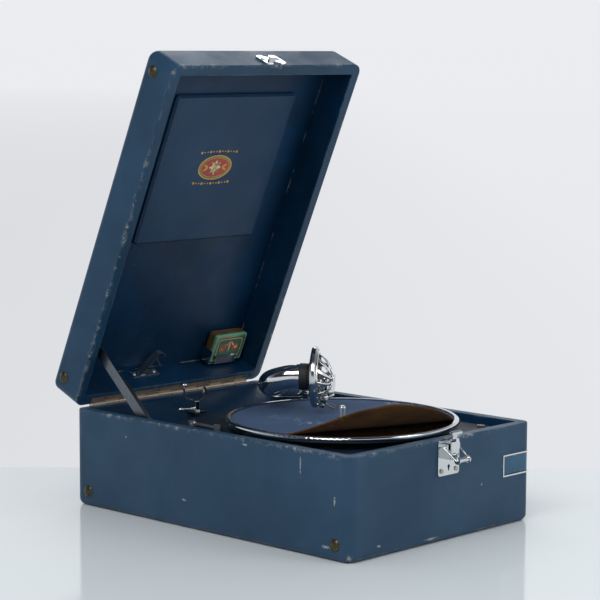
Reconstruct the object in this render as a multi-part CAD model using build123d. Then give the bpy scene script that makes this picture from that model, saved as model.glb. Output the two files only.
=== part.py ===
from build123d import *
import math
import os

# Portable gramophone, lid open. Millimetres, +Z up, +Y towards the hinge, +X to the right of someone at the latch.
# The origin is the centre of the base's underside.

os.makedirs("parts", exist_ok=True)

# case
case_width = 286.0
case_length = 406.0
base_height = 106.0
lid_height = 44.0
lid_gap = 1.0
wall = 12.0
floor_thickness = 6.0
ceiling = 6.0
corner_radius = 11.0
edge_round = 7.0
rim_round = 1.2
lid_angle = 66.4
lid_least = 13.9
closed_height = base_height + lid_gap + lid_height
front = -case_length / 2
back = case_length / 2
left = -case_width / 2
right = case_width / 2
lid_floor = base_height + lid_gap
lid_ceiling = closed_height - ceiling

# hinge
hinge_y = back + 0.6
hinge_z = base_height + lid_gap / 2
hinge_length = 240.0
knuckle_radius = 2.8
knuckle_count = 12
pin_radius = 1.2
leaf = 0.9
leaf_width = 8.0
running = 0.05

# motor board and rear sound opening
board_top = 98.0
board_thickness = 8.0
board_rear = 104.0
mouth_depth = 36.0

# turntable
turntable_centre = (0.0, -62.0)
turntable_radius = 123.5
turntable_web = 108.0
turntable_rim_low = 104.8
turntable_rim_top = 111.6
web_thickness = 1.2
mat_radius = 118.0
mat_thickness = 2.2
mat_lift = 27.0
spindle_radius = 3.6
spindle_top = 123.5

# arm rest
fork_radius = 12.0

# tone arm
arm_pivot = (106.0, 72.0)
lift_height = 118.0
arm_heading = (-0.9497, -0.2735, 0.1523)
arm_length = 96.0
tube_root = 9.4
tube_radius = 12.9
neck_radius = 12.6
tube_wall = 1.3
neck_turn_centre = (7.0, 18.6)
neck_turn_radius = 24.0
neck_end = (-6.0, -4.0, 148.5)
face_heading = (0.61, -0.7924, 0.0)

# sound box
box_radius = 33.0
collar_radius = 14.4
collar_length = 9.0
dome_radius = 26.5
dome_height = 17.0
petal_count = 7

# lid stay
stay_pivot = (135.0, 115.0)
stay_length = 130.0
stay_slope = 42.9
stay_ratio = 0.465
stay_x = -127.0
stay_width = 12.0
slot_half = 2.8
slot_steps = 8

# latch
latch_x = 4.0
latch_size = (33.0, 36.0)
latch_top = 104.6

# needle drawer
drawer_pivot = (99.0, -200.2)
drawer_pin_radius = 1.0
drawer_reach = 60.0
drawer_low = 54.0
drawer_high = 74.0

# crank and handle
crank_entry = (right, -112.0, 66.0)
crank_slope = 12.0
crank_throw = 58.0
crank_rest = 45.0
handle_y = 30.0
handle_z = 84.0
handle_span = 104.0


def block(x0, x1, y0, y1, z0, z1):
    """A box between two corners."""
    centre = Pos((x0 + x1) / 2, (y0 + y1) / 2, (z0 + z1) / 2)
    return centre * Box(x1 - x0, y1 - y0, z1 - z0)


def rod(start, end, radius):
    """A round bar between two points."""
    line = Line(start, end)
    return sweep(Plane(origin=start, z_dir=line % 0) * Circle(radius), path=line)


def opened(part):
    """Turns a piece of the shut lid to its open place."""
    return part.rotate(Axis((0, hinge_y, hinge_z), (1, 0, 0)), -lid_angle)


def save(name, part):
    export_step(part, f"parts/{name}.step")


def screw_head(radius, height):
    """A domed, slotted screw head that stands on z = 0."""
    head = Cylinder(radius, height * 2) & Sphere(radius * 1.25)
    head = head & Pos(0, 0, height / 2) * Box(radius * 4, radius * 4, height)
    return head - Pos(0, 0, height) * Box(radius * 3, radius * 0.3, height * 0.7)


def facing(x, y, z, direction):
    """A location on a wall whose outward normal is the direction, with its own y axis upright."""
    across = (-direction[1], direction[0], 0)
    return Plane(origin=(x, y, z), x_dir=across, z_dir=direction).location


def shell(z0, z1, open_up):
    """A rounded box with one open side: the base, or the lid when shut."""
    height = z1 - z0
    body = Pos(0, 0, (z0 + z1) / 2) * Box(case_width, case_length, height)
    body = fillet(body.edges().filter_by(Axis.Z), corner_radius)
    closed_face = body.faces().sort_by(Axis.Z)[0 if open_up else -1]
    body = fillet(closed_face.edges(), edge_round)
    inner_width = case_width - 2 * wall
    inner_length = case_length - 2 * wall
    hollow = Box(inner_width, inner_length, height)
    hollow = fillet(hollow.edges().filter_by(Axis.Z), 3)
    shift = floor_thickness if open_up else -ceiling
    body = body - Pos(0, 0, (z0 + z1) / 2 + shift) * hollow
    rim = body.faces().sort_by(Axis.Z)[-1 if open_up else 0]
    return fillet(rim.edges(), rim_round)


def hinge_groove():
    """Room for the knuckles and the two leaves along the back rims."""
    half = hinge_length / 2 + 0.3
    groove = Pos(0, hinge_y, hinge_z) * Rot(0, 90, 0) * Cylinder(knuckle_radius + 0.4, 2 * half)
    low = block(-half, half, back - leaf_width, back + 1, base_height - leaf, base_height + 1)
    high = block(-half, half, back - leaf_width, back + 1, lid_floor - 1, lid_floor + leaf)
    return groove, low, high


def base_case():
    groove, low, _ = hinge_groove()
    body = shell(0, base_height, True) - groove - low
    ledge_high = board_top - board_thickness
    ledge_low = ledge_high - 14
    for side in (-1, 1):
        x0, x1 = sorted((side * (right - wall - 9), side * (right - wall + 1)))
        y_end = -20 if side < 0 else board_rear - 16
        body += block(x0, x1, front + wall - 1, y_end, ledge_low, ledge_high)
    body += block(left + wall + 9, right - wall - 9, front + wall - 1, front + wall + 9, ledge_low, ledge_high)
    body -= drawer_opening() + drawer_pin()
    angle = Plane(origin=crank_entry, z_dir=crank_axis())
    body -= angle.location * Cylinder(8.2, 60)
    return body


def drawer_opening():
    """The corner notch that the needle drawer fills."""
    px, py = drawer_pivot
    reach = drawer_reach + 1.5
    sweep_room = Pos(px, py, (drawer_low + drawer_high) / 2) * Cylinder(reach, drawer_high - drawer_low)
    quarter = block(px - 4, right + 5, front - 5, py + reach, drawer_low, drawer_high)
    return sweep_room & quarter


def stud_row(z):
    """Domed studs near both ends of the left side, which the shut case stands on when carried."""
    row = []
    for y in (-183.5, 182.0):
        cap = Cylinder(6.6, 6.4) & Pos(0, 0, -5.6) * Sphere(8.8)
        cap = cap & Pos(0, 0, 1.6) * Box(20, 20, 3.2)
        row.append(facing(left, y, z, (-1, 0, 0)) * cap)
    return Compound(children=row)


def lid_case():
    groove, _, high = hinge_groove()
    body = shell(lid_floor, closed_height, False) - groove - high
    return opened(body)


def lid_panel():
    """The raised board inside the lid that records lie against."""
    plate = Pos(0, -64, lid_ceiling - 2.5) * Box(182, 178, 5)
    plate = fillet(plate.edges().filter_by(Axis.Z), 4)
    lower = plate.faces().sort_by(Axis.Z)[0]
    return opened(chamfer(lower.edges(), 2.4))


def knuckles(first):
    pitch = hinge_length / knuckle_count
    gap = 0.25
    row = []
    for k in range(first, knuckle_count, 2):
        x = -hinge_length / 2 + pitch * (k + 0.5)
        row.append(Pos(x, hinge_y, hinge_z) * Rot(0, 90, 0) * Cylinder(knuckle_radius, pitch - 2 * gap))
    return row


def hinge_half(first, z0, z1, z_web):
    """One leaf with every second knuckle."""
    half = hinge_length / 2
    pitch = hinge_length / knuckle_count
    part = block(-half, half, back - leaf_width, back - knuckle_radius - 0.2, z0, z1)
    for k in range(first, knuckle_count, 2):
        x = -half + pitch * (k + 0.5)
        reach = pitch / 2 - 0.25
        part += block(x - reach, x + reach, back - knuckle_radius - 0.4, hinge_y, z0, z1)
    for k in knuckles(first):
        part += k
    bore = Pos(0, hinge_y, hinge_z) * Rot(0, 90, 0) * Cylinder(pin_radius + running, hinge_length + 2)
    part -= bore
    for x in (-100, -60, -20, 20, 60, 100):
        part -= Pos(x, back - 5.6, z_web) * Cylinder(1.4, 4)
    return part


def hinge_pin():
    line = Pos(0, hinge_y, hinge_z) * Rot(0, 90, 0)
    return line * Cylinder(pin_radius, hinge_length - 1)


def stay_angle(lid):
    return stay_slope - stay_ratio * (lid_angle - lid)


def lid_point(y, z, lid):
    """Where a point of the shut lid lies when the lid is open by an angle."""
    a = math.radians(lid)
    dy, dz = y - hinge_y, z - hinge_z
    return (hinge_y + dy * math.cos(a) + dz * math.sin(a), hinge_z - dy * math.sin(a) + dz * math.cos(a))


def stay_foot(lid):
    y, z = lid_point(*stay_pivot, lid)
    a = math.radians(stay_angle(lid))
    return (y - stay_length * math.cos(a), z - stay_length * math.sin(a))


def stay_bar():
    """A bar with one turned edge above and a full channel below, with the sliding stud at its foot."""
    end = stay_length
    web = Pos(end / 2, 0, 0) * Box(end + 10, stay_width, 1.4)
    web = fillet(web.edges().filter_by(Axis.Z), 5)
    top_flange = Pos(end / 2 + 2, stay_width / 2 - 0.6, 2.4) * Box(end - 8, 1.2, 4.2)
    low_flange = Pos(end * 0.68, -stay_width / 2 + 0.6, 2.4) * Box(end * 0.56, 1.2, 4.2)
    bar = web + top_flange + low_flange
    bar -= Cylinder(2.1, 8)
    bar += Pos(end, 0, -1.7) * Cylinder(2.4, 2.4)
    bar += Pos(end, 0, 1.2) * Cylinder(3.6, 1.2)
    y, z = lid_point(*stay_pivot, lid_angle)
    a = math.radians(stay_slope)
    frame = Plane(origin=(stay_x, y, z), x_dir=(0, -math.cos(a), -math.sin(a)), z_dir=(1, 0, 0))
    return frame.location * bar


def stay_bracket():
    """The plate on the lid's left wall with the rivet that the stay turns on."""
    y, z = stay_pivot
    inner = left + wall
    plate = block(inner, inner + 1.6, y - 9, y + 13, z - 4.5, z + 14)
    plate = fillet(plate.edges().filter_by(Axis.X), 3)
    pin = Pos(inner + 3.2, y, z) * Rot(0, 90, 0) * Cylinder(2.05, 6.4)
    head = Pos(stay_x + 2.2, y, z) * Rot(0, 90, 0) * Cylinder(3.4, 1.2)
    spacer = Pos(inner + 2.4, y, z) * Rot(0, 90, 0) * Cylinder(3.6, 1.6)
    screws = [facing(inner + 1.6, y + dy, z + 9.5, (1, 0, 0)) * screw_head(2.2, 1.0) for dy in (-4, 8)]
    part = plate + pin + head + spacer
    for s in screws:
        part += s
    return opened(part)


def stay_guide():
    """The slotted plate on the case wall that the stay's stud slides in."""
    inner = left + wall
    feet = [stay_foot(lid_angle * k / slot_steps) for k in range(slot_steps + 1)]
    near, far = feet[0], feet[-1]
    plate = block(inner, inner + 1.6, near[0] - 12, far[0] + 12, 74, 97)
    plate = fillet(plate.edges().filter_by(Axis.X), 4)
    wall_plane = Plane(origin=(inner + 0.8, 0, 0), x_dir=(0, 1, 0), z_dir=(1, 0, 0))
    slot = trace(Spline(*feet), 2 * slot_half) + Pos(*near) * Circle(slot_half) + Pos(*far) * Circle(slot_half)
    plate -= wall_plane.location * extrude(slot, 3, both=True)
    for y in (near[0] - 7, far[0] + 7):
        plate += facing(inner + 1.6, y, 85, (1, 0, 0)) * screw_head(2.0, 0.9)
    return plate


def motor_board():
    inner = right - wall - 0.4
    low = board_top - board_thickness
    part = block(-inner, inner, front + wall + 0.4, board_rear, low, board_top)
    part = fillet(part.edges().filter_by(Axis.Z), 2.5)
    rear = part.edges().filter_by(Axis.X).sort_by(Axis.Y)[-2:]
    part = fillet(rear.sort_by(Axis.Z)[-1], 6)
    part -= block(-inner - 1, stay_x + 9, -18, board_rear + 1, low - 1, board_top + 1)
    part -= Pos(*turntable_centre, board_top - 4) * Cylinder(9, 20)
    part -= Pos(*arm_pivot, board_top - 4) * Cylinder(15, 20)
    for x, y in board_screw_places():
        part -= Pos(x, y, board_top - 4) * Cylinder(1.6, 20)
    part -= Pos(*brake_pivot(), board_top - 4) * Cylinder(2.6, 20)
    part -= Pos(*speed_pivot(), board_top - 4) * Cylinder(2.6, 20)
    return part


def board_screw_places():
    return ((114, -158), (-114, -158), (114, 12), (-104, -24))


def board_screws():
    row = [Pos(x, y, board_top) * screw_head(4.2, 2.0) for x, y in board_screw_places()]
    row += [Pos(x, y, board_top - 4) * Cylinder(1.5, 8) for x, y in board_screw_places()]
    return Compound(children=row)


def horn_deflector():
    """The curved board behind the sound opening, rolled down from the hinge rail."""
    half = right - wall - 0.4
    y0 = board_rear + mouth_depth
    y1 = back - wall - 0.4
    top = base_height - 3
    face = Polyline((y1, top), (y1, top - 30), (y0 + 8, 40), (y0, 40), (y0, 66))
    curve = Spline((y0, 66), (y0 + 12, 86), (y1, top), tangents=[(0, 1), (1, 0.25)])
    section = make_face([*face.edges(), *curve.edges()])
    plane = Plane(origin=(0, 0, 0), x_dir=(0, 1, 0), z_dir=(1, 0, 0))
    part = plane.location * extrude(section, half, both=True)
    part = fillet(part.edges().filter_by(Axis.Z).group_by(Axis.Y)[-1], 3)
    part -= block(-half - 1, stay_x + 9, y0 - 2, 152, 38, top + 1)
    return part


def horn_baffle():
    """The upright partition that closes the sound chamber off from the motor."""
    half = right - wall - 0.4
    wall_board = block(-half, half, board_rear - 14, board_rear - 8, floor_thickness, board_top - board_thickness)
    return wall_board - block(-half - 1, stay_x + 9, board_rear - 15, board_rear - 7, 60, board_top)


def horn_throat():
    """The flared metal throat that carries sound from the arm down into the chamber."""
    top = Plane(origin=(*arm_pivot, board_top - board_thickness - 0.2), z_dir=(0, 0, -1))
    mid = Plane(origin=(98, 66, 62), z_dir=(0, 0, -1))
    low = Plane(origin=(84, 56, 22), z_dir=(0, 0, -1))
    outer = loft([top * Circle(14.6), mid * Circle(19), low * Circle(28)])
    inner = loft([top * Circle(13.4), mid * Circle(17.8), low * Circle(26.8)])
    return outer - inner


def turntable_plate():
    """A pressed disc with a rolled rim and a raised hub."""
    r = turntable_radius
    low, top = turntable_rim_low, turntable_rim_top
    web = turntable_web
    pts = [
        (spindle_radius + running, web - 6),
        (14, web - 6),
        (14, web - web_thickness),
        (r - 6, web - web_thickness),
        (r - 6, low),
        (r, low),
        (r, top),
        (r - 5, top),
        (r - 5, web),
        (spindle_radius + running, web),
    ]
    section = make_face(Polyline(*pts, close=True))
    corners = [v for v in section.vertices() if v.Y > r - 5.5 or v.X > r - 5.5]
    rounded = fillet([v for v in corners if v.X > r - 0.1], 2.4)
    disc = revolve(Plane.XZ * rounded, Axis.Z)
    return Pos(*turntable_centre, 0) * disc


def turntable_spindle():
    x, y = turntable_centre
    shaft = Pos(x, y, (spindle_top + 62) / 2) * Cylinder(spindle_radius, spindle_top - 62)
    top_edge = shaft.edges().sort_by(Axis.Z)[-1]
    return fillet(top_edge, 2.6)


def mat_height(x, y):
    """How far the loose near edge of the mat has curled up."""
    a = math.radians(246)
    across = x * math.cos(a) + y * math.sin(a)
    start = 44.0
    if across <= start:
        return 0.0
    t = (across - start) / (mat_radius - start)
    return mat_lift * t ** 1.7


def turntable_mat():
    """A round cloth mat whose near edge has curled up."""
    a = math.radians(246)
    start = 44.0
    reach = mat_radius + 1
    low = Spline(
        (start - 4, 0), (start + 12, mat_height((start + 12) * math.cos(a), (start + 12) * math.sin(a))),
        (start + 34, mat_height((start + 34) * math.cos(a), (start + 34) * math.sin(a))),
        (start + 56, mat_height((start + 56) * math.cos(a), (start + 56) * math.sin(a))),
        (reach, mat_lift), tangents=[(1, 0), (1, 0.62)],
    )
    flat = Line((-reach, 0), (start - 4, 0))
    path = flat + low
    ribbon = make_face([*flat.edges(), *low.edges(), Line((reach, mat_lift), (reach, mat_lift + mat_thickness)),
                        *[e.moved(Location((0, mat_thickness))) for e in low.edges()],
                        Line((start - 4, mat_thickness), (-reach, mat_thickness)),
                        Line((-reach, mat_thickness), (-reach, 0))])
    plane = Plane(origin=(0, 0, 0), x_dir=(math.cos(a), math.sin(a), 0), z_dir=(math.sin(a), -math.cos(a), 0))
    strip = plane.location * extrude(ribbon, reach, both=True)
    disc = Cylinder(mat_radius, 120) - Cylinder(spindle_radius + 0.9, 120)
    mat = strip & disc
    return Pos(*turntable_centre, turntable_web + 0.02) * mat


def unit(v):
    n = math.sqrt(sum(c * c for c in v))
    return tuple(c / n for c in v)


def along(start, direction, distance):
    return tuple(s + d * distance for s, d in zip(start, unit(direction)))


def lift_point():
    return (*arm_pivot, lift_height)


def swivel_point():
    return along(lift_point(), arm_heading, arm_length)


def cross_heading():
    """Horizontal, square to the arm."""
    x, y, _ = arm_heading
    return unit((-y, x, 0))


def tonearm_base():
    """The round flange on the board with its bearing socket."""
    x, y = arm_pivot
    flange = Pos(x, y, board_top + 1.2) * Cylinder(24.4, 2.4)
    flange = fillet(flange.edges().sort_by(Axis.Z)[-1], 1.4)
    socket = Pos(x, y, board_top + 3) * Cylinder(18, 6)
    tail = Pos(x, y, board_top - 3.5) * Cylinder(14.7, 7)
    part = flange + socket + tail
    part -= Pos(x, y, board_top) * Cylinder(11 + running, 40)
    for k in range(3):
        part += Pos(x, y, board_top + 2.4) * Rot(0, 0, 40 + 120 * k) * Pos(21.2, 0, 0) * screw_head(2.0, 1.1)
    return part


def arm_swivel():
    """The turret that turns in the base and carries the lift pivot between two cheeks."""
    x, y = arm_pivot
    disc = Pos(x, y, board_top + 8.2) * Cylinder(18.5, 3.6)
    disc = fillet(disc.edges().sort_by(Axis.Z)[-1], 1.2)
    neck = Pos(x, y, board_top + 3) * Cylinder(11, 14)
    side = cross_heading()
    heading = unit((arm_heading[0], arm_heading[1], 0))
    frame = Plane(origin=(x, y, lift_height), x_dir=heading, z_dir=side).location
    part = disc + neck
    for s in (-1, 1):
        cheek = Cylinder(10.5, 2.6) + Pos(0, 0, 0) * Box(21, 1, 2.6)
        foot = Pos(0, -6, 0) * Box(21, 12, 2.6)
        foot_local = cheek + foot
        part += frame * (Pos(0, 0, s * 15.2) * foot_local)
        part += frame * (Pos(0, 0, s * 13.4) * Cylinder(2.45, 6))
        part += frame * (Pos(0, 0, s * 16.9) * Cylinder(4.0, 1.4))
    part -= Pos(x, y, board_top) * Cylinder(9.4, 24)
    return part & block(x - 40, x + 40, y - 40, y + 40, board_top - 6, 140)


def arm_tube():
    """The tapered tube from the lift pivot to the swivel ring."""
    start = lift_point()
    plane = Plane(origin=start, z_dir=unit(arm_heading))
    stations = ((0, tube_root), (18, 11.0), (40, tube_radius), (arm_length - 0.2, tube_radius - 0.5))
    outer = [Plane(origin=along(start, arm_heading, d), z_dir=unit(arm_heading)) * Circle(r) for d, r in stations]
    inner = [
        Plane(origin=along(start, arm_heading, d), z_dir=unit(arm_heading)) * Circle(r - tube_wall)
        for d, r in stations[1:]
    ]
    tube = loft(outer)
    side = cross_heading()
    heading = unit((arm_heading[0], arm_heading[1], 0))
    frame = Plane(origin=start, x_dir=heading, z_dir=side).location
    barrel = frame * Cylinder(9.4, 27.2)
    barrel = fillet(barrel.edges().filter_by(GeomType.CIRCLE), 1.5)
    part = tube + barrel - loft(inner)
    ring = Plane(origin=along(start, arm_heading, arm_length - 4.2), z_dir=unit(arm_heading)).location
    part += ring * (Cylinder(14.2, 5) - Cylinder(11.2, 8))
    part -= frame * Cylinder(2.5, 60)
    return part


def neck_path():
    cx, cy = neck_turn_centre
    start = along(lift_point(), arm_heading, arm_length + 0.3)
    points = [start]
    for angle, z in ((110, 134.0), (146, 138.6), (182, 144.0), (216, 147.9)):
        a = math.radians(angle)
        points.append((cx + neck_turn_radius * math.cos(a), cy + neck_turn_radius * math.sin(a), z))
    points.append(neck_end)
    return Spline(*points, tangents=[unit(arm_heading), face_heading])


def arm_neck():
    """The swan neck that turns back on itself to meet the sound box."""
    path = neck_path()
    plane = Plane(origin=path @ 0, z_dir=path % 0)
    tube = sweep(plane * Circle(neck_radius), path=path)
    bore = sweep(plane * Circle(neck_radius - tube_wall), path=path)
    part = tube - bore
    part += plane.location * (Pos(0, 0, 2.5) * (Cylinder(14.2, 5) - Cylinder(11.9, 8)))
    end = Plane(origin=neck_end, z_dir=face_heading).location
    part += end * (Pos(0, 0, -0.5) * (Cylinder(13.6, 3) - Cylinder(11.6, 8)))
    return part


def box_frame(forward):
    """Local frame on the sound box axis: z along the face, y up."""
    origin = along(neck_end, face_heading, forward)
    return Plane(origin=origin, x_dir=(0.7924, 0.61, 0), z_dir=face_heading).location


def soundbox_collar():
    ring = Cylinder(collar_radius, collar_length) - Cylinder(8, collar_length + 2)
    ring = fillet(ring.edges().filter_by(GeomType.CIRCLE).sort_by(SortBy.RADIUS)[-2:], 1.2)
    return box_frame(1.0 + collar_length / 2) * ring


def soundbox_back():
    """The turned back with its sound tube boss and the rolled outer rim."""
    r = box_radius
    pts = [(7.8, 0), (14, 0), (17, 2.2), (27, 3.4), (r - 1.4, 4.6), (r, 6.6), (r, 9.4), (r - 1.6, 11), (r - 3.4, 11)]
    pts += [(r - 4.6, 9.2), (r - 6, 9.2), (r - 6, 6.6), (7.8, 6.6)]
    section = Plane.XZ * make_face(Polyline(*pts, close=True))
    return box_frame(1.0 + collar_length) * revolve(section, Axis.Z)


def soundbox_diaphragm():
    """A thin corrugated disc held inside the rim."""
    lines = []
    base = 7.6
    radii = [0.0] + [6 + 2.0 * k for k in range(9)] + [26.4]
    heights = [2.4, 2.4] + [1.6 if k % 2 else 0.7 for k in range(8)] + [0.4]
    pts = [(r, base + h) for r, h in zip(radii, heights)]
    pts += [(r, base + h - 0.45) for r, h in reversed(list(zip(radii, heights)))]
    section = Plane.XZ * make_face(Polyline(*pts, close=True))
    return box_frame(1.0 + collar_length) * revolve(section, Axis.Z)


def petal_cut():
    """One flared opening of the front grille, on its own radius."""
    tip = Pos(9.6, 0, 0) * Circle(1.1)
    wide = Pos(19.4, 0, 0) * Ellipse(3.4, 4.3)
    hull = make_hull([*tip.edges(), *wide.edges()])
    return extrude(hull, 20)


def soundbox_grille():
    """A domed cover with flared petals round a pierced centre."""
    h = dome_height
    r = dome_radius
    big = (r * r + h * h) / (2 * h)
    outer = Pos(0, 0, h - big) * Sphere(big)
    inner = Pos(0, 0, h - big - 1.2) * Sphere(big - 0.2)
    dome = (outer - inner) & Pos(0, 0, h / 2 + 0.01) * Box(80, 80, h)
    ring = Cylinder(r + 1.6, 1.4, align=(Align.CENTER, Align.CENTER, Align.MIN)) - Cylinder(r - 3.6, 6)
    part = dome + ring
    for k in range(petal_count):
        part -= Rot(0, 0, 360 / petal_count * k + 90) * petal_cut()
    for k in range(petal_count):
        part -= Rot(0, 0, 360 / petal_count * (k + 0.5) + 90) * Pos(22.2, 0, 0) * Cylinder(1.3, 40)
    part -= Cylinder(2.2, 60)
    part -= Pos(0, -r + 1, 0) * Box(9, 12, 40)
    part -= Pos(0, -r / 2 - 3, 6 + h / 2) * Box(4.4, r - 2, h)
    return box_frame(1.0 + collar_length + 9.4) * part


def stylus_bar():
    """The needle chuck below the rim, with the arm that reaches the middle of the diaphragm."""
    chuck = Pos(0, -27.6, 6.2) * Rot(24, 0, 0) * Rot(90, 0, 0) * Cylinder(3.3, 11)
    chuck -= Pos(0, -27.6, 6.2) * Rot(24, 0, 0) * Rot(90, 0, 0) * Cylinder(0.9, 14)
    block_piece = Pos(0, -23.5, 3.4) * Box(7.5, 5, 5)
    arm = Pos(0, -13.0, 13.4) * Rot(-4, 0, 0) * Box(2.2, 26, 1.6)
    riser = Pos(0, -24.6, 9.8) * Rot(18, 0, 0) * Box(2.2, 2.6, 9)
    foot = Pos(0, -0.9, 6.5) * Cylinder(0.9, 12.8)
    return box_frame(1.0 + collar_length + 10.2) * (chuck + block_piece + arm + riser + foot)


def chuck_frame():
    return box_frame(1.0 + collar_length + 10.2) * Pos(0, -27.6, 6.2) * Rot(24, 0, 0)


def needle_screw():
    """The knurled thumb screw that grips the needle."""
    frame = chuck_frame()
    shank = Pos(0, 0, 5.6) * Cylinder(1.2, 4.4)
    head = Pos(0, 0, 10.6) * Cylinder(3.0, 6)
    for k in range(12):
        head -= Rot(0, 0, 30 * k) * Pos(3.1, 0, 10.6) * Cylinder(0.4, 8)
    return frame * (shank + head)


def brake_pivot():
    return (-97.0, 66.0)


def speed_pivot():
    return (112.0, -20.0)


def brake_lever():
    """A bent strip that stops the turntable's rim with its pad."""
    x, y = brake_pivot()
    path = Polyline((x, y), (x - 1.0, y - 22), (x - 2.5, y - 34), (x - 4.5, y - 46.5))
    strip = Pos(0, 0, board_top + 2.6) * extrude(trace(path, 5.0), 1.2)
    pad = Pos(x - 4.9, y - 44.5, board_top + 3.6) * Rot(0, 0, 96) * Box(9, 2.6, 7)
    post = Pos(x, y, board_top - 1.5) * Cylinder(2.5, 10)
    cap = Pos(x, y, board_top + 4.4) * Cylinder(4.4, 1.6)
    collar = Pos(x, y, board_top + 1.5) * Cylinder(4.2, 2.4)
    return strip + pad + post + cap + collar


def speed_plate():
    x, y = speed_pivot()
    plate = Pos(x, y, board_top + 0.4) * extrude(RectangleRounded(18, 34, 3), 0.8, both=False)
    return plate - Pos(x, y, board_top) * Cylinder(2.6, 12)


def speed_lever():
    x, y = speed_pivot()
    post = Pos(x, y, board_top - 2) * Cylinder(2.5, 12)
    arm = Pos(x, y - 7, board_top + 2.3) * Box(4, 17, 1.4)
    knob = Pos(x, y - 13.5, board_top + 4.6) * Cylinder(3.4, 4)
    return post + arm + knob


def arm_rest_clip():
    """The sprung fork that the parked arm drops into."""
    base = Pos(-10, 150, 0)
    z = 92.0
    foot = Pos(0, 0, z) * extrude(RectangleRounded(15, 22, 3), 1.6)
    post = Pos(0, 0, z + 6.2) * Cylinder(3.2, 12)
    ring = Cylinder(fork_radius + 1, 9) - Cylinder(fork_radius - 1, 11) - Pos(0, 18.5, 0) * Box(40, 30, 11)
    upright = Plane(origin=(0, 4, z + fork_radius + 12), x_dir=(-0.82, 0.57, 0), z_dir=(0.57, 0.82, 0)).location
    knob = Pos(-9.4, 10.5, z + 30) * Sphere(3.2)
    tail = rod((0, 0, z + 4), (-26, -2, z + 6), 1.6) + Pos(-27, -2, z + 6) * Rot(35, 50, 0) * Sphere(3.0)
    return base * (foot + post + upright * ring + knob + tail)


def crank_axis():
    a = math.radians(crank_slope)
    return (math.cos(a), 0, math.sin(a))


def motor_unit():
    """The closed spring motor hung under the board."""
    x, y = turntable_centre
    top = board_top - board_thickness
    plate = Pos(x, y - 10, top - 7.5) * extrude(RectangleRounded(150, 96, 14), 3)
    drum = Pos(x + 34, y - 14, 44) * Cylinder(37, 58)
    drum = fillet(drum.edges().filter_by(GeomType.CIRCLE), 4)
    gears = Pos(x - 18, y - 10, 55) * Box(56, 66, 56)
    gears = fillet(gears.edges().filter_by(Axis.Z), 8)
    governor = Pos(x - 50, y - 10, 56) * Rot(90, 0, 0) * Cylinder(19, 60)
    part = plate + drum + gears + governor
    for dx, dy in ((-64, -36), (64, -36), (-64, 36), (64, 36)):
        part += Pos(x + dx, y - 10 + dy, top - 2.3) * Cylinder(6.5, 4.6)
    part -= Pos(x, y, 80) * Cylinder(spindle_radius + running, 60)
    part -= Plane(origin=crank_entry, z_dir=crank_axis()).location * Cylinder(4.6, 200)
    return part


def crank_escutcheon():
    plane = facing(*crank_entry, (1, 0, 0))
    plate = plane * (extrude(RectangleRounded(30, 30, 8), 1.6))
    bore = Plane(origin=crank_entry, z_dir=crank_axis()).location
    sleeve = bore * (Pos(0, 0, -12) * Cylinder(7.8, 26))
    sleeve = sleeve & block(right - 24, right + 1.6, -150, -80, 20, 100)
    part = plate + sleeve - bore * Cylinder(4.5 + running, 80)
    for dy in (-10.5, 10.5):
        for dz in (-10.5, 10.5):
            part += facing(right + 1.6, crank_entry[1] + dy, crank_entry[2] + dz, (1, 0, 0)) * screw_head(2.0, 0.9)
    return part


def crank_frame():
    """z runs out along the crank's shaft, x points to the rear and down along the arm."""
    down = math.radians(crank_rest)
    lean = math.radians(crank_slope)
    arm = (math.sin(lean) * math.sin(down), math.cos(down), -math.cos(lean) * math.sin(down))
    return Plane(origin=crank_entry, x_dir=arm, z_dir=crank_axis()).location


def crank_shaft():
    shaft = Pos(0, 0, -14) * Cylinder(4.5, 84)
    path = Line((0, 0, 27), (crank_throw, 0, 33))
    arm = sweep(Plane(origin=path @ 0, z_dir=path % 0) * Rectangle(8, 10), path=path)
    hub = Pos(0, 0, 27) * Cylinder(7.5, 11)
    boss = Pos(crank_throw, 0, 33) * Cylinder(6.5, 10)
    pin = Pos(crank_throw, 0, 62) * Cylinder(3.2, 60)
    cap = Pos(crank_throw, 0, 93) * Cylinder(5.5, 3)
    return crank_frame() * (shaft + arm + hub + boss + pin + cap)


def crank_grip():
    """A waisted wooden grip that turns on the crank's pin."""
    pts = [(3.2 + running, 0), (7.5, 0), (9.5, 8), (8.2, 20), (10.5, 36), (10.0, 46), (6.5, 51), (3.2 + running, 51)]
    line = Polyline(pts[-1], pts[0], pts[1])
    curve = Spline(*pts[1:7])
    top = Line(pts[6], pts[7])
    section = Plane.XZ * make_face([*line.edges(), *curve.edges(), *top.edges()])
    return crank_frame() * (Pos(crank_throw, 0, 39) * revolve(section, Axis.Z))


def handle_brackets():
    half = handle_span / 2
    part = None
    for s in (-1, 1):
        y = handle_y + s * half
        plate = facing(right, y, handle_z, (1, 0, 0)) * extrude(RectangleRounded(17, 24, 4), 1.6)
        ear = block(right + 1, right + 8, y - 6.5, y - 4, handle_z - 4, handle_z + 4)
        ear += block(right + 1, right + 8, y + 4, y + 6.5, handle_z - 4, handle_z + 4)
        ear += Pos(right + 8, y, handle_z) * Rot(90, 0, 0) * Cylinder(4, 13)
        ear -= block(right, right + 20, y - 4, y + 4, handle_z - 6, handle_z + 6)
        pin = Pos(right + 8, y, handle_z) * Rot(90, 0, 0) * Cylinder(2, 13)
        piece = plate + ear + pin
        for dz in (-8.5, 8.5):
            piece += facing(right + 1.6, y, handle_z + dz, (1, 0, 0)) * screw_head(2.2, 1)
        part = piece if part is None else part + piece
    return part


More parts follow.
